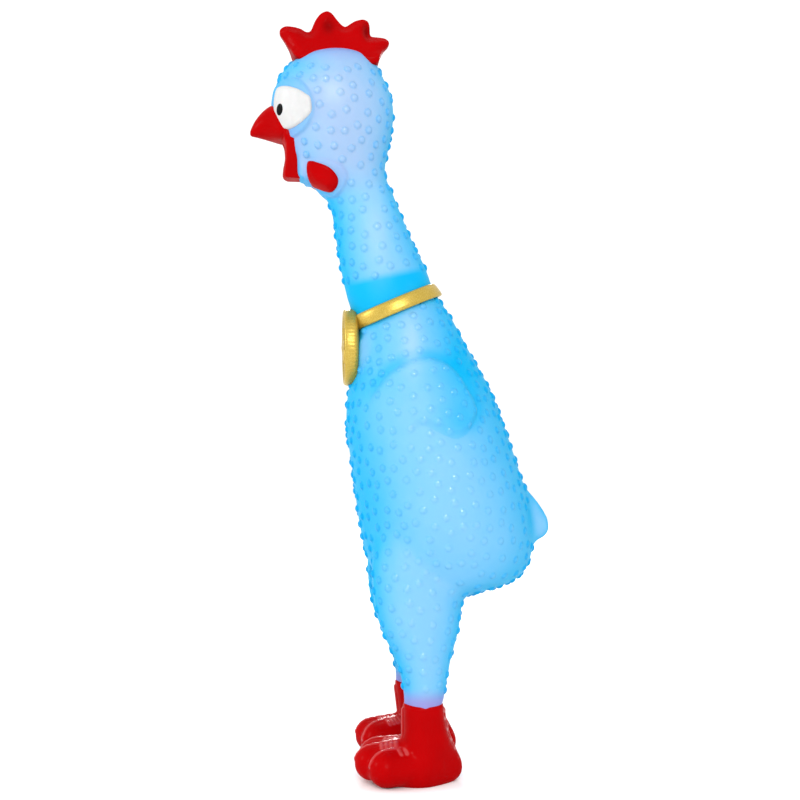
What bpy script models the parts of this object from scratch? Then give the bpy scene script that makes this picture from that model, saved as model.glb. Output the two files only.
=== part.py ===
"""A standing squeeze-toy chicken, 320 mm tall: a hollow soft vinyl skin that flexes at the neck, nape and
thighs and dents at the sides, with red vinyl comb, beak, wattles and feet, a gold breast medal, and a reed
noise maker in the throat. Metres, +Z up, the beak towards -Y, the soles on Z = 0, the left side at +X."""

import math

import bmesh
import bpy
from mathutils import Matrix, Vector

# Driving dimensions.
WALL = 0.0024  # thickness of the moulded skin
GAP = 0.0003  # clearance that touching pieces keep
SIDES = 10  # sides of a cage ring
HOLD = 0.0004  # distance between two rings that hold an end's shape when it is subdivided
SEAM_TILT = math.radians(18)  # the neck leans forward, so its rings rise to the back

# Ring stations: (x, y, z, half width, half depth, tilt), from the lowest ring up.
TORSO = [
    (0, 0.0130, 0.0738, 0.0120, 0.0090, 0),
    (0, 0.0150, 0.0752, 0.0230, 0.0190, 0),
    (0, 0.0185, 0.0800, 0.0285, 0.0275, 0),
    (0, 0.0203, 0.0875, 0.0325, 0.0335, 0),
    (0, 0.0200, 0.0980, 0.0355, 0.0362, 0),
    (0, 0.0182, 0.1110, 0.0370, 0.0370, 0),
    (0, 0.0148, 0.1270, 0.0365, 0.0360, 0),
    (0, 0.0112, 0.1430, 0.0345, 0.0339, 0),
    (0, 0.0079, 0.1580, 0.0308, 0.0304, math.radians(4)),
    (0, 0.0047, 0.1720, 0.0260, 0.0258, math.radians(9)),
    (0, 0.0006, 0.1850, 0.0210, 0.0205, math.radians(16)),
    (0, -0.0027, 0.1945, 0.0175, 0.0174, math.radians(23)),
]
NECK = [
    (0, -0.0027, 0.1945, 0.0175, 0.0174, math.radians(23)),
    (0, -0.0055, 0.2055, 0.0168, 0.0169, math.radians(19)),
    (0, -0.0095, 0.2180, 0.0158, 0.0157, SEAM_TILT),
    (0, -0.0138, 0.2315, 0.0148, 0.0145, SEAM_TILT),
    (0, -0.0165, 0.2400, 0.0145, 0.0140, SEAM_TILT),
]
HEAD = [
    (0, -0.0165, 0.2400, 0.0145, 0.0140, SEAM_TILT),
    (0, -0.0205, 0.2465, 0.0155, 0.0155, math.radians(12)),
    (0, -0.0240, 0.2535, 0.0175, 0.0185, math.radians(6)),
    (0, -0.0262, 0.2620, 0.0200, 0.0222, 0),
    (0, -0.0282, 0.2720, 0.0215, 0.0246, 0),
    (0, -0.0290, 0.2820, 0.0215, 0.0250, 0),
    (0, -0.0290, 0.2925, 0.0185, 0.0222, 0),
    (0, -0.0272, 0.3005, 0.0135, 0.0162, 0),
    (0, -0.0262, 0.3035, 0.0070, 0.0080, 0),
]
LEG = [
    (0.0220, 0.0076, 0.0330, 0.0082, 0.0083, 0),
    (0.0212, 0.0079, 0.0400, 0.0090, 0.0093, 0),
    (0.0200, 0.0080, 0.0500, 0.0103, 0.0107, 0),
    (0.0188, 0.0080, 0.0610, 0.0120, 0.0130, 0),
    (0.0175, 0.0080, 0.0740, 0.0135, 0.0155, 0),
    (0.0165, 0.0085, 0.0900, 0.0140, 0.0178, 0),
    (0.0160, 0.0090, 0.1060, 0.0140, 0.0190, 0),
]
# An ankle that flares into a heel and an instep. The sole is at Z = 0.
FOOT = [
    (0.0235, 0.0050, -0.0040, 0.0120, 0.0175, 0),
    (0.0235, 0.0050, 0.0040, 0.0125, 0.0180, 0),
    (0.0232, 0.0055, 0.0110, 0.0108, 0.0150, 0),
    (0.0226, 0.0070, 0.0180, 0.0090, 0.0105, 0),
    (0.0220, 0.0076, 0.0250, 0.0084, 0.0086, 0),
    (0.0220, 0.0076, 0.0327 - HOLD, 0.0082, 0.0083, 0),
    (0.0220, 0.0076, 0.0327, 0.0082, 0.0083, 0),
]
ANKLE_HOLLOW = [
    (0.0226, 0.0070, 0.0080, 0.0045, 0.0050, 0),
    (0.0222, 0.0075, 0.0200, 0.0055, 0.0056, 0),
    (0.0220, 0.0076, 0.0380, 0.0058, 0.0059, 0),
]
TOES = [(-22, 0.0125, 0.0050), (0, 0.0150, 0.0053), (22, 0.0125, 0.0050)]  # splay, reach, radius

# Heights where the skin is divided, on the rings' centres.
THIGH_TOP_Z = 0.0860
THIGH_LOW_Z = 0.0625
HIP_Z = 0.0680
HIP_HOLE_TOP_Z = 0.0875
ANKLE_Z = 0.0330
BAND_Z = 0.1945
BAND_HEIGHT = 0.0050
COLLAR_TOP_Z = 0.2055
NECK_LOW_Z = 0.2180
NECK_TOP_Z = 0.2315
HEAD_LOW_Z = 0.2400

# The pressed side panels: an oval that slides straight in through its window.
PANEL_Y = 0.0185
PANEL_Z = 0.1140
PANEL_HALF_DEPTH = 0.0250
PANEL_HALF_HEIGHT = 0.0210
PANEL_INNER_X = 0.0100

WING_THICKNESS = 0.0030
WHISTLE_Z = 0.2580
WHISTLE_FRONT_Y = -0.0462
WHISTLE_RADIUS = 0.0052
BORE_RADIUS = 0.0042
FLANGE_RADIUS = 0.0072
FLANGE_START = 0.0086
REED_LENGTH = 0.0168
REED_WIDTH = 0.0050
REED_THICKNESS = 0.0004
REED_LIFT = 0.0005  # the reed's middle above the bed's face
REED_HELD_AT = 0.0198  # the wedge grips the reed this far behind the whistle's mouth
MEDAL_RADIUS = 0.0160
MEDAL_THICKNESS = 0.0032
MEDAL_CENTRE = Vector((0, -0.0222, 0.1775))
MEDAL_LEAN = math.radians(3)
EYE_CENTRE = Vector((0.0145, -0.0440, 0.2785))
EYE_RADII = (0.0052, 0.0086, 0.0090)
EYE_TURN = math.radians(36)  # the eye faces this far forward of straight sideways
PUPIL_TURN = math.radians(48)
SIDE_WORDS = ((1, "left"), (-1, "right"))

COLOURS = {
    "skin_blue": ((0.10, 0.52, 0.90), 0.35, 0.0),
    "vinyl_red": ((0.62, 0.02, 0.03), 0.35, 0.0),
    "paint_gold": ((0.75, 0.55, 0.13), 0.35, 0.8),
    "paint_white": ((0.90, 0.90, 0.88), 0.45, 0.0),
    "paint_black": ((0.01, 0.01, 0.01), 0.30, 0.0),
    "whistle_plastic": ((0.85, 0.86, 0.84), 0.40, 0.0),
    "reed_film": ((0.90, 0.80, 0.55), 0.30, 0.0),
}

parts = None
cutters = None
materials = {}


def clear_scene():
    for obj in list(bpy.data.objects):
        bpy.data.objects.remove(obj, do_unlink=True)


def make_collections():
    global parts, cutters
    parts = bpy.data.collections.new("squeeze_chicken")
    cutters = bpy.data.collections.new("cutters")
    for collection in (parts, cutters):
        bpy.context.scene.collection.children.link(collection)


def make_materials():
    for name, (colour, roughness, metallic) in COLOURS.items():
        material = bpy.data.materials.new(name)
        material.use_nodes = True
        shader = material.node_tree.nodes["Principled BSDF"]
        shader.inputs["Base Color"].default_value = (*colour, 1)
        shader.inputs["Roughness"].default_value = roughness
        shader.inputs["Metallic"].default_value = metallic
        materials[name] = material


def make_pivots():
    """An empty on each joint's axis, which the pieces that move with it are parented to."""
    bend = middle_of(NECK, COLLAR_TOP_Z, NECK_LOW_Z)
    pivots = {"neck_pivot": bend, "nape_pivot": middle_of(NECK, NECK_TOP_Z, HEAD_LOW_Z)}
    pivots["reed_pivot"] = (0, WHISTLE_FRONT_Y + REED_HELD_AT, WHISTLE_Z + REED_LIFT)
    for side, word in SIDE_WORDS:
        pivots[word + "_hip_pivot"] = station_at(mirrored(LEG, side), HIP_Z)[:3]
        pivots[word + "_press_pivot"] = (side * 0.034, PANEL_Y, PANEL_Z)
    for name, point in pivots.items():
        pivot = bpy.data.objects.new(name, None)
        pivot.location = point
        pivot.empty_display_size = 0.010
        parts.objects.link(pivot)


def middle_of(stations, low_z, high_z):
    return station_at(stations, (low_z + high_z) / 2)[:3]


def place(name, mesh, material=None, pivot=None):
    """A mesh given in world coordinates becomes an object, with its origin at its pivot if it moves."""
    obj = bpy.data.objects.new(name, mesh)
    if pivot:
        obj.parent = bpy.data.objects[pivot]
        mesh.transform(Matrix.Translation(-obj.parent.location))
    if material is None:
        cutters.objects.link(obj)
        obj.hide_render = True
        obj.display_type = "WIRE"
    else:
        parts.objects.link(obj)
        mesh.materials.append(materials[material])
        mesh.shade_smooth()
    return obj


def mirrored(stations, side):
    return [(side * x, *rest) for x, *rest in stations]


def station_at(stations, z):
    """The ring at height z, between its two neighbours."""
    for low, high in zip(stations, stations[1:]):
        if low[2] <= z <= high[2]:
            share = (z - low[2]) / (high[2] - low[2])
            return tuple(a + share * (b - a) for a, b in zip(low, high))
    raise ValueError("no ring at that height")


def stretch(stations, low_z, high_z, margin=0.0015):
    """The stations from low_z to high_z, with a ring at each end."""
    inner = [s for s in stations if low_z + margin < s[2] < high_z - margin]
    return [station_at(stations, low_z), *inner, station_at(stations, high_z)]


def ring_points(station, sides):
    """The cage is drawn wider than the form, by what one subdivision takes off a ring of that many sides."""
    x, y, z, half_width, half_depth, tilt = station
    kept = (3 + math.cos(2 * math.pi / sides)) / 4
    points = []
    for index in range(sides):
        turn = 2 * math.pi * index / sides
        across = half_width / kept * math.cos(turn)
        along = half_depth / kept * math.sin(turn)
        points.append((x + across, y + along * math.cos(tilt), z + along * math.sin(tilt)))
    return points


def loft_mesh(name, stations, close_low, close_high, sides=SIDES):
    """A cage through the rings, with an end closed by one face where asked."""
    build = bmesh.new()
    rings = [[build.verts.new(p) for p in ring_points(s, sides)] for s in stations]
    for low, high in zip(rings, rings[1:]):
        for index in range(sides):
            following = (index + 1) % sides
            build.faces.new((low[index], low[following], high[following], high[index]))
    if close_low:
        build.faces.new(reversed(rings[0]))
    if close_high:
        build.faces.new(rings[-1])
    mesh = bpy.data.meshes.new(name)
    build.to_mesh(mesh)
    build.free()
    return mesh


def subdivide(obj, levels=1):
    modifier = obj.modifiers.new("soft form", "SUBSURF")
    modifier.levels = levels
    modifier.render_levels = levels


def thicken(obj, thickness, offset):
    modifier = obj.modifiers.new("wall", "SOLIDIFY")
    modifier.thickness = thickness
    modifier.offset = offset
    modifier.use_even_offset = True


def grow(obj, distance):
    modifier = obj.modifiers.new("clearance", "DISPLACE")
    modifier.strength = distance
    modifier.mid_level = 0


def combine(obj, other, operation="DIFFERENCE"):
    modifier = obj.modifiers.new(operation.lower(), "BOOLEAN")
    modifier.operation = operation
    modifier.object = other


def shell(name, stations, pivot=None, close_low=False, close_high=False):
    """A soft form with a skin wall inside its surface, open at an end that isn't closed."""
    obj = place(name, loft_mesh(name, stations, close_low, close_high), "skin_blue", pivot)
    subdivide(obj)
    thicken(obj, WALL, -1)
    return obj


def form_cutter(name, stations, distance=GAP):
    """A closed soft form, larger than its surface by the clearance."""
    obj = place(name, loft_mesh(name, stations, True, True))
    subdivide(obj)
    grow(obj, distance)
    return obj


def oval_prism(name, y, z, half_depth, half_height, low_x, high_x):
    """A prism along X with an oval outline."""
    build = bmesh.new()
    bmesh.ops.create_cone(
        build, cap_ends=True, segments=28, radius1=1, radius2=1, depth=1
    )
    along_x = Matrix.Rotation(math.radians(90), 4, "Y")
    sizes = Matrix.Diagonal((abs(high_x - low_x), half_depth, half_height, 1))
    centre = Matrix.Translation(((low_x + high_x) / 2, y, z))
    build.transform(centre @ sizes @ along_x)
    mesh = bpy.data.meshes.new(name)
    build.to_mesh(mesh)
    build.free()
    return place(name, mesh)


def ellipsoid_mesh(name, centre, radii, turn, segments=20, rings=12):
    build = bmesh.new()
    bmesh.ops.create_uvsphere(build, u_segments=segments, v_segments=rings, radius=1)
    build.transform(Matrix.Translation(centre) @ turn @ Matrix.Diagonal((*radii, 1)))
    mesh = bpy.data.meshes.new(name)
    build.to_mesh(mesh)
    build.free()
    return mesh


def turned_mesh(name, profile, segments):
    """A profile of (radius, height) turned round Z, starting and ending off the axis or on it."""
    curve = bpy.data.meshes.new(name + "_profile")
    points = [(radius, 0, height) for radius, height in profile]
    edges = [(i, (i + 1) % len(points)) for i in range(len(points))]
    curve.from_pydata(points, edges, [])
    turned = bpy.data.objects.new(name + "_turned", curve)
    cutters.objects.link(turned)
    screw = turned.modifiers.new("turn", "SCREW")
    screw.steps = segments
    screw.render_steps = segments
    screw.use_merge_vertices = True
    screw.merge_threshold = 0.00001
    return realise(turned, name)


def realise(obj, name):
    """The mesh that a modified object or a curve shows, with its caps welded. The object is removed."""
    bpy.context.view_layer.update()
    graph = bpy.context.evaluated_depsgraph_get()
    mesh = bpy.data.meshes.new_from_object(obj.evaluated_get(graph))
    mesh.transform(obj.matrix_world)
    mesh.name = name
    build = bmesh.new()
    build.from_mesh(mesh)
    bmesh.ops.remove_doubles(build, verts=build.verts, dist=0.00001)
    bmesh.ops.recalc_face_normals(build, faces=build.faces)
    build.to_mesh(mesh)
    build.free()
    mesh.materials.clear()
    bpy.data.objects.remove(obj)
    return mesh


def outline_mesh(name, points, half_thickness, edge, frame, resolution=3, smooth=True):
    """A flat outline of (u, v) points, extruded both ways along its normal, with rounded edges."""
    curve = bpy.data.curves.new(name + "_outline", "CURVE")
    curve.dimensions = "2D"
    curve.fill_mode = "BOTH"
    curve.extrude = half_thickness - edge
    curve.bevel_depth = edge
    curve.bevel_resolution = 1
    curve.offset = -edge
    curve.resolution_u = resolution
    kind = "BEZIER" if smooth else "POLY"
    spline = curve.splines.new(kind)
    if smooth:
        spline.bezier_points.add(len(points) - 1)
        for target, (u, v) in zip(spline.bezier_points, points):
            target.co = (u, v, 0)
            target.handle_left_type = "AUTO"
            target.handle_right_type = "AUTO"
    else:
        spline.points.add(len(points) - 1)
        for target, (u, v) in zip(spline.points, points):
            target.co = (u, v, 0, 1)
    spline.use_cyclic_u = True
    flat = bpy.data.objects.new(name + "_flat", curve)
    cutters.objects.link(flat)
    flat.matrix_world = frame
    return realise(flat, name)


# u runs back along Y, v up along Z, the thickness across X.
SIDE_FRAME = Matrix(((0, 0, 1, 0), (1, 0, 0, 0), (0, 1, 0, 0), (0, 0, 0, 1)))
# u runs along X, v up along Z, the thickness along Y.
FRONT_FRAME = Matrix(((1, 0, 0, 0), (0, 0, -1, 0), (0, 1, 0, 0), (0, 0, 0, 1)))


def make_torso():
    torso = shell("torso_skin", TORSO, close_low=True)
    for side, word in SIDE_WORDS:
        hip = stretch(mirrored(LEG, side), THIGH_LOW_Z - 0.012, HIP_HOLE_TOP_Z)
        hip.insert(-1, station_at(mirrored(LEG, side), HIP_HOLE_TOP_Z - HOLD))
        combine(torso, form_cutter(word + "_hip_cutter", hip))
        low_x, high_x = sorted((side * PANEL_INNER_X, side * 0.060))
        window = oval_prism(
            word + "_window_cutter",
            PANEL_Y,
            PANEL_Z,
            PANEL_HALF_DEPTH + GAP,
            PANEL_HALF_HEIGHT + GAP,
            low_x,
            high_x,
        )
        combine(torso, window)
        panel = shell(word + "_side_panel", TORSO, word + "_press_pivot", close_low=True)
        plug = oval_prism(
            word + "_panel_cutter",
            PANEL_Y,
            PANEL_Z,
            PANEL_HALF_DEPTH,
            PANEL_HALF_HEIGHT,
            low_x,
            high_x,
        )
        combine(panel, plug, "INTERSECT")


def make_wings():
    """Each wing is a raised pad that follows the side of the body: rounded above, scalloped behind."""
    outline = [
        (-0.0125, 0.1520),
        (-0.0050, 0.1670),
        (0.0080, 0.1730),
        (0.0200, 0.1715),
        (0.0290, 0.1610),
        (0.0330, 0.1470),
        (0.0270, 0.1405),
        (0.0160, 0.1395),
        (0.0060, 0.1450),
    ]
    for side, word in SIDE_WORDS:
        wing = place(word + "_wing", loft_mesh(word + "_wing", TORSO, True, True), "skin_blue")
        subdivide(wing)
        grow(wing, WING_THICKNESS + GAP)
        mesh = outline_mesh(word + "_wing_outline", outline, 0.016, 0.0005, SIDE_FRAME)
        mesh.transform(Matrix.Translation((side * 0.028, 0, 0)))
        combine(wing, place(word + "_wing_cutter", mesh), "INTERSECT")
        combine(wing, bpy.data.objects["torso_form"])


def make_tail():
    turn = Matrix.Rotation(math.radians(-62), 4, "X")
    mesh = ellipsoid_mesh("tail", (0, 0.0535, 0.1050), (0.0080, 0.0078, 0.0120), turn)
    tail = place("tail", mesh, "skin_blue")
    combine(tail, bpy.data.objects["torso_form"])


def make_neck():
    shell("collar_skin", stretch(NECK, BAND_Z + GAP, COLLAR_TOP_Z))
    shell("neck_root_flex", stretch(NECK, COLLAR_TOP_Z + GAP, NECK_LOW_Z - GAP), "neck_pivot")
    shell("neck_skin", stretch(NECK, NECK_LOW_Z, NECK_TOP_Z), "neck_pivot")
    shell("nape_flex", stretch(NECK, NECK_TOP_Z + GAP, HEAD_LOW_Z - GAP), "neck_pivot")


def make_band():
    """The gold ribbon round the foot of the neck, a raised flat ring over the seam."""
    x, y, z, half_width, half_depth, tilt = station_at(NECK, BAND_Z)
    rings = []
    for share in (-0.5, 0.5):
        rise = share * BAND_HEIGHT
        centre_y = y - rise * math.sin(tilt)
        centre_z = z + rise * math.cos(tilt)
        spread = 0.0019 - share * 0.0012
        rings.append((x, centre_y, centre_z, half_width + spread, half_depth + spread, tilt))
    band = place("neck_band", loft_mesh("neck_band", rings, False, False, 20), "paint_gold")
    subdivide(band)
    thicken(band, 0.0011, -1)


def make_medal():
    profile = [
        (0.0000, 0.0),
        (MEDAL_RADIUS - 0.0006, 0.0),
        (MEDAL_RADIUS, 0.0006),
        (MEDAL_RADIUS, MEDAL_THICKNESS - 0.0006),
        (MEDAL_RADIUS - 0.0006, MEDAL_THICKNESS),
        (MEDAL_RADIUS - 0.0024, MEDAL_THICKNESS),
        (MEDAL_RADIUS - 0.0030, MEDAL_THICKNESS - 0.0008),
        (0.0000, MEDAL_THICKNESS - 0.0008),
    ]
    forward = Matrix.Rotation(math.radians(90) - MEDAL_LEAN, 4, "X")
    back = MEDAL_CENTRE + Vector((0, MEDAL_THICKNESS / 2, 0))
    mesh = turned_mesh("medallion", profile[::-1], 40)
    mesh.transform(Matrix.Translation(back) @ forward)
    medal = place("medallion", mesh, "paint_gold")
    combine(medal, bpy.data.objects["torso_form"])
    combine(medal, bpy.data.objects["band_form"])
    points = []
    for index in range(10):
        radius = 0.0092 if index % 2 == 0 else 0.0042
        turn = math.pi * index / 5
        points.append((radius * math.sin(turn), radius * math.cos(turn)))
    lift = back + Vector((0, -MEDAL_THICKNESS - 0.0001, 0))
    star = outline_mesh("medallion_star", points, 0.0005, 0.0002, FRONT_FRAME, smooth=False)
    star.transform(Matrix.Translation(lift) @ Matrix.Rotation(-MEDAL_LEAN, 4, "X"))
    place("medallion_star", star, "paint_gold")


def make_head():
    head = shell("head_skin", HEAD, "nape_pivot", close_high=True)
    combine(head, bpy.data.objects["throat_cutter"])


def make_throat_cutter():
    """A round hole from the mouth into the throat."""
    name = "throat_cutter"
    radius = WHISTLE_RADIUS + GAP
    build = bmesh.new()
    bmesh.ops.create_cone(
        build, cap_ends=True, segments=32, radius1=radius, radius2=radius, depth=0.020
    )
    along_y = Matrix.Rotation(math.radians(90), 4, "X")
    build.transform(Matrix.Translation((0, -0.0480, WHISTLE_Z)) @ along_y)
    mesh = bpy.data.meshes.new(name)
    build.to_mesh(mesh)
    build.free()
    place(name, mesh)


def make_comb():
    outline = [
        (-0.0430, 0.2960),
        (-0.0462, 0.3020),
        (-0.0508, 0.3108),
        (-0.0470, 0.3130),
        (-0.0385, 0.3108),
        (-0.0350, 0.3160),
        (-0.0309, 0.3200),
        (-0.0272, 0.3168),
        (-0.0233, 0.3135),
        (-0.0190, 0.3158),
        (-0.0145, 0.3162),
        (-0.0126, 0.3100),
        (-0.0080, 0.3085),
        (-0.0045, 0.3062),
        (-0.0075, 0.2995),
        (-0.0110, 0.2930),
        (-0.0270, 0.2960),
    ]
    mesh = outline_mesh("comb", outline, 0.0046, 0.0016, SIDE_FRAME)
    comb = place("comb", mesh, "vinyl_red", "nape_pivot")
    combine(comb, bpy.data.objects["head_form"])


def make_beak():
    """The upper beak is a hooked cone. The lower beak hangs open, as a tongue-shaped flap."""
    upright = math.radians(90)
    stations = [
        (0, -0.0625, 0.2688, 0.0010, 0.0014, upright),
        (0, -0.0605, 0.2700, 0.0032, 0.0036, upright),
        (0, -0.0570, 0.2715, 0.0062, 0.0064, upright),
        (0, -0.0520, 0.2722, 0.0090, 0.0078, upright),
        (0, -0.0440, 0.2722, 0.0112, 0.0078, upright),
        (0, -0.0360, 0.2722, 0.0112, 0.0078, upright),
    ]
    mesh = loft_mesh("upper_beak", stations, True, True)
    build = bmesh.new()
    build.from_mesh(mesh)
    bmesh.ops.recalc_face_normals(build, faces=build.faces)
    build.to_mesh(mesh)
    build.free()
    upper = place("upper_beak", mesh, "vinyl_red", "nape_pivot")
    subdivide(upper)
    combine(upper, bpy.data.objects["head_form"])
    outline = [
        (0.0000, 0.2485),
        (0.0060, 0.2492),
        (0.0090, 0.2525),
        (0.0098, 0.2575),
        (0.0094, 0.2630),
        (0.0000, 0.2632),
        (-0.0094, 0.2630),
        (-0.0098, 0.2575),
        (-0.0090, 0.2525),
        (-0.0060, 0.2492),
    ]
    flap = outline_mesh("lower_beak", outline, 0.0050, 0.0010, FRONT_FRAME, 2)
    flap.transform(Matrix.Translation((0, -0.0440, 0)))
    lower = place("lower_beak", flap, "vinyl_red", "nape_pivot")
    combine(lower, bpy.data.objects["head_form"])
    combine(lower, bpy.data.objects["throat_cutter"])


def make_eyes():
    """Each eye bulges from the side of the face, and its pupil sits on the part that looks forward."""
    for side, word in SIDE_WORDS:
        turn = Matrix.Rotation(-side * EYE_TURN, 4, "Z")
        centre = Vector((side * EYE_CENTRE.x, EYE_CENTRE.y, EYE_CENTRE.z))
        mesh = ellipsoid_mesh("eye", centre, EYE_RADII, turn, 18, 10)
        white = place(word + "_eye_white", mesh, "paint_white", "nape_pivot")
        combine(white, bpy.data.objects["head_form"])
        ball = place(word + "_eye_cutter", ellipsoid_mesh("ball", centre, EYE_RADII, turn, 18, 10))
        grow(ball, GAP)
        across = side * EYE_RADII[0] * math.cos(PUPIL_TURN)
        ahead = -EYE_RADII[1] * math.sin(PUPIL_TURN)
        spot = centre + turn.to_3x3() @ Vector((across, ahead, 0))
        mesh = ellipsoid_mesh("pupil", spot, (0.0012, 0.0014, 0.0023), turn, 12, 8)
        pupil = place(word + "_pupil", mesh, "paint_black", "nape_pivot")
        combine(pupil, ball)
        combine(pupil, bpy.data.objects["head_form"])


def make_wattles():
    """A pair of red lobes under the cheeks."""
    for side, word in SIDE_WORDS:
        turn = Matrix.Rotation(math.radians(28), 4, "X")
        centre = (side * 0.0135, -0.0322, 0.2505)
        mesh = ellipsoid_mesh("wattle", centre, (0.0048, 0.0066, 0.0068), turn, 16, 10)
        wattle = place(word + "_wattle", mesh, "vinyl_red", "nape_pivot")
        combine(wattle, bpy.data.objects["head_form"])
        combine(wattle, bpy.data.objects["nape_form"])


def make_whistle():
    """The reed noise maker: a flanged tube in the throat, a half-round reed bed in its bore, a thin reed on
    the bed and a half-round wedge that holds the reed's inner end."""
    back = Matrix.Translation((0, WHISTLE_FRONT_Y, WHISTLE_Z)) @ Matrix.Rotation(
        math.radians(-90), 4, "X"
    )
    body = [
        (BORE_RADIUS, 0.0),
        (WHISTLE_RADIUS, 0.0),
        (WHISTLE_RADIUS, FLANGE_START),
        (FLANGE_RADIUS, FLANGE_START),
        (FLANGE_RADIUS, FLANGE_START + 0.0014),
        (WHISTLE_RADIUS, FLANGE_START + 0.0014),
        (WHISTLE_RADIUS, 0.0220),
        (BORE_RADIUS, 0.0220),
    ]
    mesh = turned_mesh("whistle_body", body[::-1], 32)
    mesh.transform(back)
    place("whistle_body", mesh, "whistle_plastic", "nape_pivot")

    low_half = half_round("reed_bed", 0.0020, 0.0205, -1)
    channel = box_mesh("reed_channel", (0.0034, 0.0150, 0.0022), (0, 0.0098, -0.0011))
    channel.transform(Matrix.Translation((0, WHISTLE_FRONT_Y, WHISTLE_Z)))
    combine(low_half, place("reed_channel_cutter", channel))
    half_round("reed_wedge", 0.0180, 0.0205, 1)
    middle = (0, REED_HELD_AT - REED_LENGTH / 2, REED_LIFT)
    reed = box_mesh("reed", (REED_WIDTH, REED_LENGTH, REED_THICKNESS), middle)
    reed.transform(Matrix.Translation((0, WHISTLE_FRONT_Y, WHISTLE_Z)))
    place("reed", reed, "reed_film", "reed_pivot")


def box_mesh(name, size, centre):
    build = bmesh.new()
    bmesh.ops.create_cube(build, size=1)
    build.transform(Matrix.Translation(centre) @ Matrix.Diagonal((*size, 1)))
    mesh = bpy.data.meshes.new(name)
    build.to_mesh(mesh)
    build.free()
    return mesh


def half_round(name, start, end, side):
    """Half a rod in the whistle's bore, above (1) or below (-1) the reed."""
    build = bmesh.new()
    radius = BORE_RADIUS - GAP
    bmesh.ops.create_cone(
        build, cap_ends=True, segments=28, radius1=radius, radius2=radius, depth=end - start
    )
    along_y = Matrix.Rotation(math.radians(90), 4, "X")
    middle = (0, WHISTLE_FRONT_Y + (start + end) / 2, WHISTLE_Z)
    build.transform(Matrix.Translation(middle) @ along_y)
    mesh = bpy.data.meshes.new(name)
    build.to_mesh(mesh)
    build.free()
    rod = place(name, mesh, "whistle_plastic", "nape_pivot")
    face = 0.0010 if side > 0 else 0.0
    half = box_mesh(name + "_half", (0.020, 0.040, 0.010), (0, 0, face - side * 0.005))
    half.transform(Matrix.Translation(middle))
    combine(rod, place(name + "_cutter", half))
    return rod


def make_leg(side, word):
    leg = mirrored(LEG, side)
    shell(word + "_thigh_flex", stretch(leg, THIGH_LOW_Z, THIGH_TOP_Z))
    shell(word + "_leg_skin", stretch(leg, ANKLE_Z, THIGH_LOW_Z - GAP), word + "_hip_pivot")


def make_foot(side, word):
    """A hollow ankle on a flat-soled foot with a heel and three round-tipped toes."""
    mesh = loft_mesh(word + "_foot", mirrored(FOOT, side), True, True)
    foot = place(word + "_foot", mesh, "vinyl_red", word + "_hip_pivot")
    subdivide(foot)
    root = Vector((side * FOOT[0][0], 0, 0.0045))
    for index, (splay, reach, radius) in enumerate(TOES):
        turn = Matrix.Rotation(math.radians(splay), 4, "Z")
        centre = root + turn @ Vector((0, -reach * 0.75, 0))
        radii = (radius, reach * 0.75, radius * 1.05)
        mesh = ellipsoid_mesh("toe", centre, radii, turn, 12, 8)
        combine(foot, place(f"{word}_toe_cutter_{index}", mesh), "UNION")
    ground = box_mesh("ground", (0.080, 0.100, 0.020), (side * FOOT[0][0], 0, -0.010))
    combine(foot, place(word + "_ground_cutter", ground))
    combine(foot, form_cutter(word + "_ankle_cutter", mirrored(ANKLE_HOLLOW, side), 0.0))


def make_forms():
    """Whole forms, used only to fit the trim to the skin it sits on."""
    form_cutter("torso_form", TORSO)
    form_cutter("head_form", HEAD)
    form_cutter("nape_form", NECK)
    x, y, z, half_width, half_depth, tilt = station_at(NECK, BAND_Z)
    reach = 0.0021
    ring = []
    for rise in (-0.0030, 0.0030):
        centre = (x, y - rise * math.sin(tilt), z + rise * math.cos(tilt))
        ring.append((*centre, half_width + reach, half_depth + reach, tilt))
    form = place("band_form", loft_mesh("band_form", ring, True, True, 24))
    form.display_type = "WIRE"


def main():
    clear_scene()
    make_collections()
    make_materials()
    make_pivots()
    make_forms()
    make_throat_cutter()
    make_torso()
    make_wings()
    make_tail()
    make_neck()
    make_band()
    make_medal()
    make_head()
    make_comb()
    make_beak()
    make_eyes()
    make_wattles()
    make_whistle()
    for side, word in SIDE_WORDS:
        make_leg(side, word)
        make_foot(side, word)


main()
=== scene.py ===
"""Builds the finished look of the squeeze chicken around its CAD frame. All lengths are in metres."""

import math

import bmesh
import bpy
import numpy as np
from mathutils import Matrix, Vector
from mathutils.bvhtree import BVHTree
from mathutils.kdtree import KDTree


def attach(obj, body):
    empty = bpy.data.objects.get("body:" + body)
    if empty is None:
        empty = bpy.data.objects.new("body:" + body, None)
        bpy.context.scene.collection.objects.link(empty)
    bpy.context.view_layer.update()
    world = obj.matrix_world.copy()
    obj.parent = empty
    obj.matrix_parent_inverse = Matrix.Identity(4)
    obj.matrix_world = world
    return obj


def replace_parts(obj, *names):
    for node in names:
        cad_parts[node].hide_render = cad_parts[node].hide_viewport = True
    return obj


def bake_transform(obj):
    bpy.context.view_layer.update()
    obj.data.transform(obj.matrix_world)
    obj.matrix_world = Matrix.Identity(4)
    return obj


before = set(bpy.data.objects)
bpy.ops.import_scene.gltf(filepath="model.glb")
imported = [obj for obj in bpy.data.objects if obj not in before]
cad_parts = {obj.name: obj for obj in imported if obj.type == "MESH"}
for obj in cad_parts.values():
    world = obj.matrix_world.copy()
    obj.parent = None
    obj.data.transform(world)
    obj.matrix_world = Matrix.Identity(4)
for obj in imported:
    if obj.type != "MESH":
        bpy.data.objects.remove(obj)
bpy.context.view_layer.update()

SEED = 11

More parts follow.
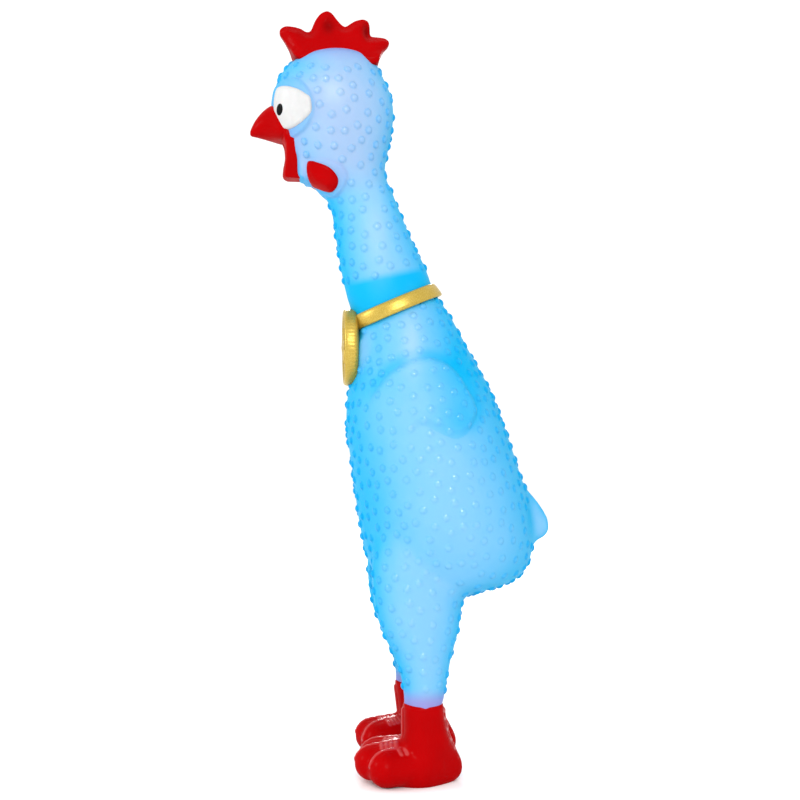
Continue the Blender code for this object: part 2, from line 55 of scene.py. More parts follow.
# Rows of a loft: centre x, y, z, half width along X, half depth, and the tilt in degrees that lifts the back.
BODY_ROWS = [
    (0, 0.0130, 0.0738, 0.0120, 0.0090, 0),
    (0, 0.0150, 0.0752, 0.0230, 0.0190, 0),
    (0, 0.0200, 0.0798, 0.0280, 0.0288, 0),
    (0, 0.0208, 0.0872, 0.0320, 0.0342, 0),
    (0, 0.0200, 0.0980, 0.0350, 0.0363, 0),
    (0, 0.0182, 0.1110, 0.0364, 0.0366, 0),
    (0, 0.0148, 0.1270, 0.0360, 0.0352, 0),
    (0, 0.0110, 0.1430, 0.0340, 0.0337, 0),
    (0, 0.0078, 0.1580, 0.0302, 0.0303, 4),
    (0, 0.0047, 0.1720, 0.0252, 0.0250, 9),
    (0, 0.0010, 0.1850, 0.0205, 0.0212, 16),
    (0, -0.0024, 0.1945, 0.0174, 0.0182, 23),
    (0, -0.0060, 0.2055, 0.0165, 0.0178, 19),
    (0, -0.0103, 0.2180, 0.0154, 0.0161, 18),
    (0, -0.0141, 0.2315, 0.0144, 0.0144, 18),
    (0, -0.0165, 0.2400, 0.0140, 0.0135, 18),
    (0, -0.0199, 0.2465, 0.0148, 0.0140, 12),
    (0, -0.0240, 0.2535, 0.0170, 0.0180, 6),
    (0, -0.0262, 0.2620, 0.0195, 0.0216, 0),
    (0, -0.0276, 0.2720, 0.0210, 0.0247, 0),
    (0, -0.0283, 0.2820, 0.0210, 0.0251, 0),
    (0, -0.0290, 0.2915, 0.0182, 0.0217, 0),
    (0, -0.0272, 0.2990, 0.0133, 0.0160, 0),
    (0, -0.0262, 0.3024, 0.0070, 0.0084, 0),
]
LEG_ROWS = [
    (0.0222, 0.0074, 0.0290, 0.0080, 0.0081, 0),
    (0.0220, 0.0080, 0.0330, 0.0080, 0.0081, 0),
    (0.0212, 0.0083, 0.0400, 0.0087, 0.0093, 0),
    (0.0200, 0.0078, 0.0500, 0.0100, 0.0117, 0),
    (0.0188, 0.0068, 0.0610, 0.0117, 0.0160, 0),
    (0.0175, 0.0060, 0.0740, 0.0132, 0.0184, 0),
    (0.0165, 0.0060, 0.0900, 0.0136, 0.0190, 0),
    (0.0160, 0.0090, 0.1060, 0.0135, 0.0180, 0),
]
FOOT_ROWS = [
    (0.0228, 0.0078, -0.0008, 0.0078, 0.0112, 0),
    (0.0228, 0.0086, 0.0016, 0.0094, 0.0142, 0),
    (0.0228, 0.0090, 0.0055, 0.0100, 0.0151, 0),
    (0.0226, 0.0094, 0.0100, 0.0096, 0.0135, 0),
    (0.0224, 0.0092, 0.0150, 0.0091, 0.0107, 0),
    (0.0221, 0.0086, 0.0205, 0.0087, 0.0091, 0),
    (0.0219, 0.0079, 0.0270, 0.0085, 0.0084, 0),
    (0.0219, 0.0077, 0.0315, 0.0084, 0.0083, 0),
    (0.0219, 0.0077, 0.0326, 0.0080, 0.0079, 0),
]
# Each toe: where its middle line starts and ends as (X, Y), its radius at the start and at the end.
TOES = [
    ((0.0222, 0.0130), (0.0288, -0.0078), 0.0074, 0.0075),
    ((0.0224, 0.0040), (0.0222, -0.0132), 0.0092, 0.0072),
    ((0.0190, 0.0050), (0.0140, -0.0102), 0.0092, 0.0082),
]

# Outlines in the side view, as (Y, Z).
WING_OUTLINE = [
    (-0.0153, 0.1355), (-0.0161, 0.1454), (-0.0145, 0.1554), (-0.0105, 0.1625), (-0.0058, 0.1677),
    (0.0006, 0.1713), (0.0070, 0.1732), (0.0125, 0.1728), (0.0181, 0.1705), (0.0229, 0.1657),
    (0.0264, 0.1601), (0.0292, 0.1546), (0.0296, 0.1498), (0.0280, 0.1458), (0.0244, 0.1418),
    (0.0205, 0.1398), (0.0157, 0.1410), (0.0109, 0.1434), (0.0062, 0.1448), (0.0030, 0.1426),
    (-0.0026, 0.1375), (-0.0089, 0.1335),
]
EYE_OUTLINE = [
    (-0.0522, 0.2834), (-0.0510, 0.2845), (-0.0486, 0.2843), (-0.0457, 0.2833), (-0.0427, 0.2818),
    (-0.0398, 0.2797), (-0.0383, 0.2784), (-0.0377, 0.2757), (-0.0377, 0.2728), (-0.0391, 0.2708),
    (-0.0421, 0.2684), (-0.0450, 0.2670), (-0.0486, 0.2667), (-0.0510, 0.2683), (-0.0522, 0.2714),
    (-0.0530, 0.2754), (-0.0530, 0.2795),
]
SOCKET_OUTLINE = [
    (-0.0541, 0.2810), (-0.0528, 0.2853), (-0.0494, 0.2875), (-0.0453, 0.2878), (-0.0416, 0.2861),
    (-0.0387, 0.2824), (-0.0367, 0.2780), (-0.0363, 0.2726), (-0.0379, 0.2682), (-0.0412, 0.2647),
    (-0.0457, 0.2629), (-0.0502, 0.2635), (-0.0532, 0.2680), (-0.0549, 0.2749),
]
PUPIL_CENTRE = (-0.0506, 0.2748)
# The right side of the moulding isn't quite the left side's mirror image.
RIGHT_WATTLE_RISE = 0.0015
RIGHT_FOOT_SHIFT = 0.0024
WATTLE_OUTLINE = [
    (-0.0391, 0.2534), (-0.0346, 0.2526), (-0.0298, 0.2503), (-0.0268, 0.2466), (-0.0271, 0.2433),
    (-0.0296, 0.2414), (-0.0340, 0.2433), (-0.0388, 0.2469),
]
WATTLE_PAD_OUTLINE = [
    (-0.0403, 0.2540), (-0.0350, 0.2549), (-0.0300, 0.2540), (-0.0251, 0.2520), (-0.0224, 0.2479),
    (-0.0233, 0.2438), (-0.0255, 0.2405), (-0.0284, 0.2392), (-0.0342, 0.2422), (-0.0403, 0.2458),
]
CHEEK_OUTLINE = [
    (-0.0470, 0.2640), (-0.0425, 0.2600), (-0.0395, 0.2550), (-0.0391, 0.2440), (-0.0500, 0.2440),
]
COMB_OUTLINE = [
    (-0.0511, 0.3107), (-0.0487, 0.3132), (-0.0457, 0.3131), (-0.0420, 0.3123), (-0.0384, 0.3105),
    (-0.0360, 0.3156), (-0.0336, 0.3189), (-0.0309, 0.3201), (-0.0288, 0.3192), (-0.0269, 0.3168),
    (-0.0251, 0.3147), (-0.0233, 0.3133), (-0.0209, 0.3150), (-0.0185, 0.3163), (-0.0157, 0.3169),
    (-0.0136, 0.3162), (-0.0129, 0.3144), (-0.0127, 0.3098), (-0.0106, 0.3094), (-0.0069, 0.3090),
    (-0.0048, 0.3077), (-0.0048, 0.3059), (-0.0069, 0.3038), (-0.0088, 0.3005), (-0.0094, 0.2972),
    (-0.0119, 0.2960), (-0.0154, 0.2960), (-0.0270, 0.2960), (-0.0380, 0.2960), (-0.0440, 0.2985),
    (-0.0463, 0.3025), (-0.0487, 0.3068),
]
TAIL_OUTLINE = [
    (0.0440, 0.1175), (0.0500, 0.1198), (0.0540, 0.1170), (0.0578, 0.1127), (0.0608, 0.1085),
    (0.0630, 0.1034), (0.0628, 0.0994), (0.0600, 0.0968), (0.0550, 0.0958), (0.0440, 0.0970),
]
JAW_OUTLINE = [
    (-0.0431, 0.2472), (-0.0435, 0.2530), (-0.0441, 0.2575), (-0.0462, 0.2640), (-0.0360, 0.2740),
    (-0.0260, 0.2640), (-0.0290, 0.2530), (-0.0340, 0.2484),
]
LOWER_BEAK_OUTLINE = [
    (-0.0504, 0.2672), (-0.0500, 0.2640), (-0.0490, 0.2615), (-0.0489, 0.2560), (-0.0496, 0.2492),
    (-0.0490, 0.2480), (-0.0420, 0.2479), (-0.0420, 0.2560), (-0.0428, 0.2600), (-0.0438, 0.2632),
    (-0.0458, 0.2660), (-0.0475, 0.2676),
]

# The round throat hole, and the depth in front of which the skin is open round it.
THROAT_HEIGHT = 0.2580
THROAT_RADIUS = 0.0056
THROAT_BACK = -0.0360
# The sloping planes of the ribbon and of the top of the smooth collar above it.
BAND_CENTRE = Vector((0, -0.0024, 0.1945))
BAND_TILT = math.radians(23)
COLLAR_TOP = Vector((0, -0.0060, 0.2064))
COLLAR_TILT = math.radians(12)
# The direction of the neck from its root to the head.
NECK_UP = Vector((0, -0.3090, 0.9511))

# Where the skin is divided, and the spans that go with the neck cuts: on the neck as distances along NECK_UP,
# and on a leg as a height.
SWAY_SPAN = (0.1880, 0.2000)
BEND_SPAN = (0.2000, 0.2190)
NOD_SPAN = (0.2205, 0.2370)
NECK_CUT = 0.2198
HEAD_CUT = 0.2375
LEG_CUT = 0.0712

MEDAL_PLACE = Matrix.Translation((0, -0.0222, 0.1775)) @ Matrix.Rotation(math.radians(90 + 0.5), 4, "X")
ANKLE_X = 0.0219

DOME_RADIUS = 0.00165
DOME_HEIGHT = 0.00095
DOME_SPACING = 0.0051
# How far the wings and the smooth pads stand up, and over what width their edges rise.
WING_LIFT = 0.0019
WING_EDGE = 0.0036
PAD_LIFT = 0.0011
PAD_EDGE = 0.0013
# Half the width across of the flat forms.
TAIL_HALF = 0.0076
JAW_HALF = 0.0125
COMB_HALF = 0.0046
LOWER_BEAK_HALF = 0.0092
# The painted tones, with the painted light and shade and the painted highlights, that the skin's material
# reads.
SKIN_TONES = ("painted_light", "lavender", "blush", "painted_highlight", "dome", "gloss")


def smoothstep(value):
    value = np.clip(value, 0, 1)
    return value * value * (3 - 2 * value)


def turns(count):
    """Angles spaced evenly round a full turn."""
    return np.arange(count) * 2 * math.pi / count


def curve_points(before, start, end, after, steps):
    """Points from start towards end on a Catmull-Rom curve."""
    points = []
    for share in np.arange(steps) / steps:
        linear = (end - before) * share
        square = (2 * before - 5 * start + 4 * end - after) * share**2
        cube = (3 * start - before - 3 * end + after) * share**3
        points.append((2 * start + linear + square + cube) / 2)
    return points


def smooth_rows(rows, steps):
    """The rows with more between them, on a smooth curve through them."""
    rows = np.array(rows, float)
    padded = np.vstack([2 * rows[0] - rows[1], rows, 2 * rows[-1] - rows[-2]])
    result = []
    for index in range(len(rows) - 1):
        result += curve_points(*padded[index : index + 4], steps)
    return np.array(result + [rows[-1]])


def smooth_outline(outline, steps=6):
    """A closed outline with more points, on a smooth curve through them."""
    points = np.array(outline, float)
    result = []
    for index in range(len(points)):
        nearby = [points[(index + offset) % len(points)] for offset in (-1, 0, 1, 2)]
        result += curve_points(*nearby, steps)
    return np.array(result)


def spot(points, centre, reach):
    """1 at the centre of a soft oval spot, falling to 0 beyond its reach on each axis."""
    return np.exp(-(((points - centre) / reach) ** 2).sum(axis=1))


def depth_inside(points, outline):
    """How far each 2-D point lies inside an outline; negative outside."""
    starts = np.array(outline, float)
    nearest = np.full(len(points), 1.0)
    inside = np.zeros(len(points), bool)
    for start, end in zip(starts, np.roll(starts, -1, axis=0)):
        edge = end - start
        share = np.clip(((points - start) @ edge) / max(edge @ edge, 1e-18), 0, 1)
        nearest = np.minimum(nearest, np.linalg.norm(points - start - share[:, None] * edge, axis=1))
        if start[1] != end[1]:
            crosses = (start[1] > points[:, 1]) != (end[1] > points[:, 1])
            at = edge[0] * (points[:, 1] - start[1]) / edge[1] + start[0]
            inside ^= crosses & (points[:, 0] < at)
    return np.where(inside, nearest, -nearest)


def loft(rows, sides=48, square=1.0):
    """A closed tube of rings with flat ends, as (points, faces). A square below 1 flattens the sides."""
    angle = turns(sides)
    round_x = np.sign(np.cos(angle)) * np.abs(np.cos(angle)) ** square
    round_y = np.sign(np.sin(angle)) * np.abs(np.sin(angle)) ** square
    rings = []
    for x, y, z, width, depth, tilt in rows:
        tilt = math.radians(tilt)
        across = round_y * depth
        ring = [x + round_x * width, y + across * math.cos(tilt), z + across * math.sin(tilt)]
        rings.append(np.stack(ring, axis=1))
    return ring_stack(rings)


def ring_stack(rings):
    """Joins rings of points in order, with a flat face at each end."""
    sides = len(rings[0])
    faces = []
    for row in range(len(rings) - 1):
        for side in range(sides):
            low, high = row * sides, row * sides + sides
            turn = (side + 1) % sides
            faces.append((low + side, low + turn, high + turn, high + side))
    last = (len(rings) - 1) * sides
    faces.append(tuple(range(sides - 1, -1, -1)))
    faces.append(tuple(range(last, last + sides)))
    return np.concatenate(rings), faces


def ellipsoid(centre, radii, turn=0.0):
    """A closed ellipsoid turned by some degrees about X, as (points, faces)."""
    sides, rows = 28, 16
    angle = turns(sides)
    rings = []
    for row in range(1, rows):
        polar = math.pi * row / rows
        around = [np.cos(angle) * math.sin(polar), np.sin(angle) * math.sin(polar)]
        rings.append(np.stack([*around, np.full(sides, -math.cos(polar))], axis=1))
    points, faces = ring_stack(rings)
    turned = np.array(Matrix.Rotation(math.radians(turn), 3, "X"))
    return (points * radii) @ turned.T + centre, faces


def tube(path, radii, sides):
    """A closed tube along a path of points with a radius at each, as (points, faces)."""
    path = [Vector(point) for point in path]
    rings = []
    for index, point in enumerate(path):
        ahead = path[min(index + 1, len(path) - 1)] - path[max(index - 1, 0)]
        turn = ahead.to_track_quat("Z", "Y").to_matrix()
        ring = []
        for side in range(sides):
            angle = 2 * math.pi * side / sides
            ring.append(point + turn @ Vector((math.cos(angle), math.sin(angle), 0)) * radii[index])
        rings.append(np.array(ring))
    return ring_stack(rings)


def prism(outline, half):
    """A closed slab from an outline in the (Y, Z) plane, as far as half to each side, as (points, faces)."""
    outline = np.array(outline, float)
    rings = [np.column_stack([np.full(len(outline), x), outline]) for x in (-half, half)]
    return ring_stack(rings)


def mirrored(shape):
    """The shape on the other side of the X = 0 plane."""
    points, faces = shape
    return points * (-1, 1, 1), [tuple(reversed(face)) for face in faces]


def mesh_from(name, shapes):
    """One mesh that holds several (points, faces) shapes, with its faces outward."""
    points, faces, start = [], [], 0
    for shape_points, shape_faces in shapes:
        points.append(shape_points)
        faces.extend(tuple(index + start for index in face) for face in shape_faces)
        start += len(shape_points)
    mesh = bpy.data.meshes.new(name)
    mesh.from_pydata(np.concatenate(points).tolist(), [], faces)
    work = bmesh.new()
    work.from_mesh(mesh)
    bmesh.ops.recalc_face_normals(work, faces=work.faces)
    work.to_mesh(mesh)
    work.free()
    return mesh


def fused(name, shapes, voxel, smoothing, subdivision):
    """The shapes grown together into one soft closed mesh."""
    rough = bpy.data.objects.new(name, mesh_from(name, shapes))
    bpy.context.scene.collection.objects.link(rough)
    remesh = rough.modifiers.new("fuse", "REMESH")
    remesh.mode = "VOXEL"
    remesh.voxel_size = voxel
    smooth = rough.modifiers.new("soften", "SMOOTH")
    smooth.factor = 0.5
    smooth.iterations = smoothing
    if subdivision:
        finer = rough.modifiers.new("refine", "SUBSURF")
        finer.levels = subdivision
        finer.render_levels = subdivision
    mesh = evaluated_mesh(rough, name)
    bpy.data.objects.remove(rough)
    return mesh


def evaluated_mesh(obj, name):
    """A mesh with the object's modifiers applied."""
    graph = bpy.context.evaluated_depsgraph_get()
    mesh = bpy.data.meshes.new_from_object(obj.evaluated_get(graph))
    mesh.name = name
    return mesh


def coordinates(mesh):
    values = np.empty(len(mesh.vertices) * 3, np.float32)
    mesh.vertices.foreach_get("co", values)
    return values.reshape(-1, 3).astype(float)


def set_coordinates(mesh, points):
    mesh.vertices.foreach_set("co", np.asarray(points, np.float32).ravel())
    mesh.update()


def normals(mesh):
    values = np.empty(len(mesh.vertices) * 3, np.float32)
    mesh.vertex_normals.foreach_get("vector", values)
    return values.reshape(-1, 3).astype(float)


def quads(mesh):
    values = np.empty(len(mesh.loops), np.int32)
    mesh.loops.foreach_get("vertex_index", values)
    return values.reshape(-1, 4)


def paint(mesh, name, values):
    """Stores one number per point, which a material can read."""
    layer = mesh.attributes.new(name, "FLOAT", "POINT")
    layer.data.foreach_set("value", np.asarray(values, np.float32))


def piece(name, mesh, material, body=None, smooth=True):
    """A finished piece of the chicken."""
    obj = bpy.data.objects.new(name, mesh)
    bpy.context.scene.collection.objects.link(obj)
    mesh.materials.clear()
    mesh.materials.append(material)
    mesh.polygons.foreach_set("use_smooth", np.full(len(mesh.polygons), smooth))
    if body:
        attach(obj, body)
    return obj


# ---------------- materials


class Nodes:
    """Short calls for the nodes of one material."""

    def __init__(self, name):
        self.material = bpy.data.materials.new(name)
        self.material.use_nodes = True
        self.tree = self.material.node_tree
        self.shader = self.tree.nodes["Principled BSDF"]

    def link(self, source, node, socket):
        self.tree.links.new(source, node.inputs[socket])

    def set(self, **values):
        for name, value in values.items():
            self.shader.inputs[name.replace("_", " ")].default_value = value

    def place(self):
        return self.tree.nodes.new("ShaderNodeTexCoord").outputs["Object"]

    def attribute(self, name):
        node = self.tree.nodes.new("ShaderNodeAttribute")
        node.attribute_name = name
        return node.outputs["Fac"]

    def noise(self, scale, detail=2.0, roughness=0.5):
        node = self.tree.nodes.new("ShaderNodeTexNoise")
        node.inputs["Scale"].default_value = scale
        node.inputs["Detail"].default_value = detail
        node.inputs["Roughness"].default_value = roughness
        self.link(self.place(), node, "Vector")
        return node.outputs["Fac"]

    def ramp(self, source, low, high, start=0.0, end=1.0):
        node = self.tree.nodes.new("ShaderNodeMapRange")
        node.inputs["From Min"].default_value = start
        node.inputs["From Max"].default_value = end
        node.inputs["To Min"].default_value = low
        node.inputs["To Max"].default_value = high
        self.link(source, node, "Value")
        return node.outputs["Result"]

    def mix(self, share, first, second):
        """The first colour, a socket or a plain colour, mixed towards the second, a plain colour."""
        node = self.tree.nodes.new("ShaderNodeMix")
        node.data_type = "RGBA"
        self.link(share, node, "Factor")
        if isinstance(first, tuple):
            node.inputs[6].default_value = (*first, 1)
        else:
            self.tree.links.new(first, node.inputs[6])
        node.inputs[7].default_value = (*second, 1)
        return node.outputs[2]

    def mottle(self, noise, dark, light, edge=0.3):
        """A colour that drifts between dark and light with a noise."""
        return self.mix(self.ramp(noise, 0, 1, edge, 1 - edge), dark, light)

    def colour(self, source):
        self.link(source, self.shader, "Base Color")

    def roughness(self, noise, low, high):
        """Roughness that drifts between low and high with a noise."""
        self.link(self.ramp(noise, low, high, 0.3, 0.7), self.shader, "Roughness")

    def grain(self, height, distance, strength=0.5):
        """A fine surface grain."""
        node = self.tree.nodes.new("ShaderNodeBump")
        node.inputs["Distance"].default_value = distance
        node.inputs["Strength"].default_value = strength
        self.link(height, node, "Height")
        self.link(node.outputs["Normal"], self.shader, "Normal")


def skin_material():
    """Milky blue vinyl, pale on the broad sides as a painted glow, deeper blue where it turns away as painted
    shade, deeper blue on the domes from thicker vinyl and painted shade, with painted highlights.
    """
    nodes = Nodes("skin_vinyl")
    cloud = nodes.ramp(nodes.noise(38, 2), -0.07, 0.07, 0.3, 0.7)
    painted_light = nodes.tree.nodes.new("ShaderNodeMath")
    painted_light.operation = "ADD"
    painted_light.use_clamp = True
    nodes.link(nodes.attribute("painted_light"), painted_light, 0)
    nodes.link(cloud, painted_light, 1)
    # The painted light runs from the deep blue that stands for shade to the pale blue of the glowing sides.
    colour = nodes.mix(painted_light.outputs[0], (0.0, 0.335, 0.625), (0.172, 0.415, 0.64))
    for name, tint in (
        ("lavender", (0.288, 0.388, 0.568)),
        ("blush", (0.26, 0.17, 0.46)),
        ("painted_highlight", (0.39, 0.50, 0.61)),
        ("dome", (0.0, 0.245, 0.56)),
    ):
        colour = nodes.mix(nodes.attribute(name), colour, tint)
    nodes.colour(colour)
    nodes.set(Subsurface_Weight=0.25, Subsurface_Scale=0.002, Subsurface_Radius=(0.35, 0.7, 1.0))
    nodes.set(Specular_IOR_Level=0.05, IOR=1.5, Coat_Roughness=0.06)
    nodes.link(nodes.ramp(nodes.attribute("gloss"), 0.02, 0.85), nodes.shader, "Coat Weight")
    nodes.roughness(nodes.noise(900, 3), 0.40, 0.54)
    nodes.grain(nodes.noise(2600, 2), 0.00003)
    return nodes.material


def red_material():
    """Matt red paint on soft vinyl, with painted shade in the comb's dents, and polished with a painted
    highlight of lighter pink on the feet's ridges.
    """
    nodes = Nodes("red_paint")
    colour = nodes.mottle(nodes.noise(60, 3), (0.315, 0.0003, 0.0008), (0.370, 0.0004, 0.0010))
    # Painted shade: darker red in the comb's dents.
    colour = nodes.mix(nodes.ramp(nodes.attribute("shade"), 0, 0.65), colour, (0.13, 0.0003, 0.0006))
    ridge = nodes.attribute("ridge")
    # A painted highlight: lighter pink along the ridges.
    nodes.colour(nodes.mix(nodes.ramp(ridge, 0, 0.24), colour, (0.62, 0.11, 0.11)))
    nodes.set(Specular_IOR_Level=0.01, Coat_Roughness=0.15)
    nodes.link(nodes.ramp(ridge, 0.02, 0.55), nodes.shader, "Coat Weight")
    nodes.roughness(nodes.noise(500, 3), 0.34, 0.48)
    nodes.grain(nodes.noise(2200, 3), 0.00004)
    return nodes.material


def gold_material():
    """Metallic gold paint with a fine flake."""
    nodes = Nodes("gold_paint")
    flake = nodes.noise(2500, 2)
    nodes.colour(nodes.mottle(flake, (0.41, 0.265, 0.028), (0.54, 0.395, 0.075), 0.35))
    nodes.set(Metallic=0.6)
    nodes.roughness(nodes.noise(1200, 2), 0.30, 0.45)
    nodes.grain(flake, 0.00003, 0.4)
    return nodes.material


def white_material():
    """Matt white paint with a faint mottle."""
    nodes = Nodes("eye_white_paint")
    nodes.colour(nodes.mottle(nodes.noise(400, 3), (0.475, 0.475, 0.475), (0.505, 0.505, 0.505), 0.35))
    nodes.set(Subsurface_Weight=0.1, Subsurface_Scale=0.001)
    nodes.roughness(nodes.noise(800, 2), 0.42, 0.55)
    nodes.grain(nodes.noise(3000, 2), 0.00002)
    return nodes.material


def black_material():
    """Smooth black paint."""
    nodes = Nodes("pupil_paint")
    nodes.colour(nodes.mottle(nodes.noise(900, 2), (0.004, 0.004, 0.004), (0.010, 0.010, 0.010)))
    nodes.set(Specular_IOR_Level=0.02)
    nodes.roughness(nodes.noise(700, 2), 0.22, 0.34)
    return nodes.material


def plastic_material(name, dark, light):
    """Moulded plastic with faint flow marks."""
    nodes = Nodes(name)
    nodes.colour(nodes.mottle(nodes.noise(300, 3), dark, light))
    nodes.roughness(nodes.noise(900, 2), 0.35, 0.5)
    nodes.grain(nodes.noise(2500, 2), 0.00002)
    return nodes.material


def floor_material():
    """A pale matt floor."""
    nodes = Nodes("studio_floor")
    nodes.colour(nodes.mix(nodes.noise(6, 2), (0.90, 0.90, 0.90), (0.92, 0.92, 0.92)))
    nodes.set(Roughness=0.9, Specular_IOR_Level=0.1)
    return nodes.material


# ---------------- skin


def above_plane(points, centre, tilt):
    """Height above a plane through centre that is level along X and lifts to the back by tilt."""
    return (points - np.array(centre)) @ np.array((0, -math.sin(tilt), math.cos(tilt)))


def spread_domes(points, allowed, spacing):
    """Places for domes, no closer than spacing, among the allowed points, in a seeded order."""
    chance = np.random.default_rng(SEED)
    free = allowed.copy()
    centres = []
    for index in chance.permutation(len(points)):
        if not free[index]:
            continue
        centres.append(index)
        free &= ((points - points[index]) ** 2).sum(axis=1) > spacing**2
    return centres


def dome_heights(points, centres):
    """How far each point is raised by the nearest dome, as a share of a dome's height."""
    tree = KDTree(len(centres))
    for index, centre in enumerate(centres):
        tree.insert(centre, index)
    tree.balance()
    nearest = np.array([tree.find(point)[2] for point in points])
    return np.clip(1 - (nearest / DOME_RADIUS) ** 2, 0, 1) ** 0.75


def skin_shapes():
    """The body with its neck and head, and the legs, tail, jaw, chest and rump that grow together with it."""
    body = loft(smooth_rows(BODY_ROWS, 4))
    leg = loft(smooth_rows(LEG_ROWS, 4), 32)
    tail = prism(smooth_outline(TAIL_OUTLINE, 3), TAIL_HALF)
    jaw_points, jaw_faces = prism(smooth_outline(JAW_OUTLINE, 3), JAW_HALF)
    widening = (jaw_points[:, 2] - 0.2480) / 0.012 + (jaw_points[:, 1] + 0.0430) / 0.016
    jaw_points[:, 0] *= 0.70 + 0.30 * smoothstep(widening)
    chest_line = [(0, -0.0184, 0.1772), (0, -0.0100, 0.1760), (0, -0.0030, 0.1740)]
    chest = tube(chest_line, [0.0148, 0.0158, 0.0160], 40)
    rump = ellipsoid((0, 0.0260, 0.0850), (0.0270, 0.0255, 0.0120), 14)
    return [body, leg, mirrored(leg), tail, (jaw_points, jaw_faces), chest, rump]


def pad_depths(points):
    """How deep each point lies in the side view inside the wing, eye socket, wattle pad and cheek."""
    side = points[:, 1:]
    wing = depth_inside(side, smooth_outline(WING_OUTLINE))
    wing[np.abs(points[:, 0]) < 0.012] = -1
    socket = depth_inside(side, smooth_outline(SOCKET_OUTLINE))
    wattle_pad = depth_inside(side, smooth_outline(WATTLE_PAD_OUTLINE))
    return wing, socket, wattle_pad, depth_inside(side, CHEEK_OUTLINE)


def wing_fade(points, start, length):
    """0 below the wing's slanted lower edge, where it runs out into the body, and 1 above it."""
    return smoothstep(((points[:, 2] - start) + 0.30 * (points[:, 1] - 0.0040)) / length)


def bald_points(points, depths, rim):
    """Where the skin is smooth: collar, pads, cheek, wing edge, ankles, tail, comb root and beak root."""
    _, socket, wattle_pad, cheek = depths
    above_band = above_plane(points, BAND_CENTRE, BAND_TILT)
    above_collar = above_plane(points, COLLAR_TOP, COLLAR_TILT)
    from_tail = np.linalg.norm((points - (0, 0.0600, 0.1050)) / (1, 0.0085, 0.014), axis=1)
    bald = (above_band > -0.0042) & (above_collar < 0.0012)
    bald |= (socket > -0.0014) | (wattle_pad > -0.0014) | (cheek > -0.0005)
    bald |= rim > 0.3
    bald |= (points[:, 2] < 0.0375) | (from_tail < 1.0)
    bald |= depth_inside(points[:, 1:], smooth_outline(COMB_OUTLINE)) > -0.0022
    bald |= (points[:, 1] < -0.0500) & (points[:, 2] < 0.2800)
    return bald


def skin_mesh():
    """The whole blue skin in one closed mesh, with its domes, pads and painted tones, which hold painted
    light, shade and highlights.
    """
    mesh = fused("skin", skin_shapes(), 0.0020, 6, 2)
    points = coordinates(mesh)
    outward = normals(mesh)
    depths = pad_depths(points)
    wing, socket, wattle_pad, _ = depths
    upper = wing_fade(points, 0.1440, 0.014)
    rim = smoothstep(1 - np.abs(wing) / 0.0020) * upper
    lift = WING_LIFT * smoothstep(wing / WING_EDGE) * wing_fade(points, 0.1385, 0.017) - 0.0002 * rim
    lift += PAD_LIFT * smoothstep(socket / PAD_EDGE)
    lift += PAD_LIFT * smoothstep(wattle_pad / PAD_EDGE)

    raised = points + outward * lift[:, None]
    allowed = ~bald_points(points, depths, rim)
    # Every fourth point is close enough together to choose the middles of the domes from.
    chosen = spread_domes(raised[::4], allowed[::4], DOME_SPACING)
    dome = dome_heights(raised, raised[::4][chosen])
    across = np.abs(outward[:, 0])
    on_body = smoothstep((0.2000 - points[:, 2]) / 0.03)
    height = dome * DOME_HEIGHT * (1 - 0.45 * across**2 * on_body)
    set_coordinates(mesh, raised + outward * height[:, None])

    # Painted light and shade: a pale glow on the sides, and deeper blue where the skin turns away or lies in
    # shade.
    paint(mesh, "painted_light", painted_light_share(points, across, depths, upper))
    paint(mesh, "lavender", 0.9 * lavender_share(points, across, socket))
    paint(mesh, "blush", blush_share(points, depths))
    # The domes are deeper blue from their thicker vinyl, with painted shade as a ring round each dome's foot,
    # stronger where the skin turns away.
    ring = smoothstep(dome / 0.25) * (1 - 0.55 * smoothstep((dome - 0.45) / 0.4))
    thickness_and_shade = 0.22 * across**2 * (1 - 0.7 * on_body) + 1.15 * (1 - across) ** 0.85
    paint(mesh, "dome", np.clip(ring * thickness_and_shade, 0, 1))
    # Painted highlights on the breast, neck and crown, strongest where the skin faces across.
    paint(mesh, "painted_highlight", 0.45 * painted_highlight_share(points) * across**2)
    paint(mesh, "gloss", smoothstep((dome - 0.3) / 0.4) * across**4)
    return mesh


def socket_share(socket):
    return smoothstep((socket + 0.0006) / 0.0016)


def brow_share(points):
    return spot(points[:, 1:], (-0.0430, 0.2915), (0.0110, 0.0070))


def painted_light_share(points, across, depths, upper):
    """How pale the blue is: a painted glow, most on the broad sides; deeper blue on the collar; painted shade
    on the shoulder, wing edge, socket and brow.
    """
    wing, socket = depths[:2]
    above_band = above_plane(points, BAND_CENTRE, BAND_TILT)
    above_collar = above_plane(points, COLLAR_TOP, COLLAR_TILT)
    painted_light = across**2.4
    painted_light *= 1 - smoothstep((above_band + 0.006) / 0.004) * smoothstep((0.0026 - above_collar) / 0.0042)
    # Painted shade on the shoulder, under the wing and along the wing's upper edge.
    shoulder = spot(points[:, 1:], (0.0240, 0.1700), (0.0110, 0.0200))
    wing_shade = spot(points[:, 1:], (0.0215, 0.1470), (0.0100, 0.0080))
    painted_light *= (1 - 0.9 * shoulder) * (1 - 0.6 * wing_shade * (wing > 0))
    painted_light *= 1 - 0.60 * smoothstep(1 - np.abs(wing + 0.0002) / 0.0050) * upper
    # Painted shade in the eye socket and on the brow.
    return painted_light * ((1 - 0.35 * socket_share(socket)) * (1 - 0.35 * brow_share(points)))


def lavender_share(points, across, socket):
    """Lavender on the sides of the head, strongest where they face across, partly the head's hue and partly
    painted glow; less in the eye sockets and on the brow as painted shade.
    """
    on_head = smoothstep((points[:, 2] - 0.236) / 0.02) * across**1.5
    return on_head * (1 - 0.45 * socket_share(socket)) * (1 - 0.6 * brow_share(points))


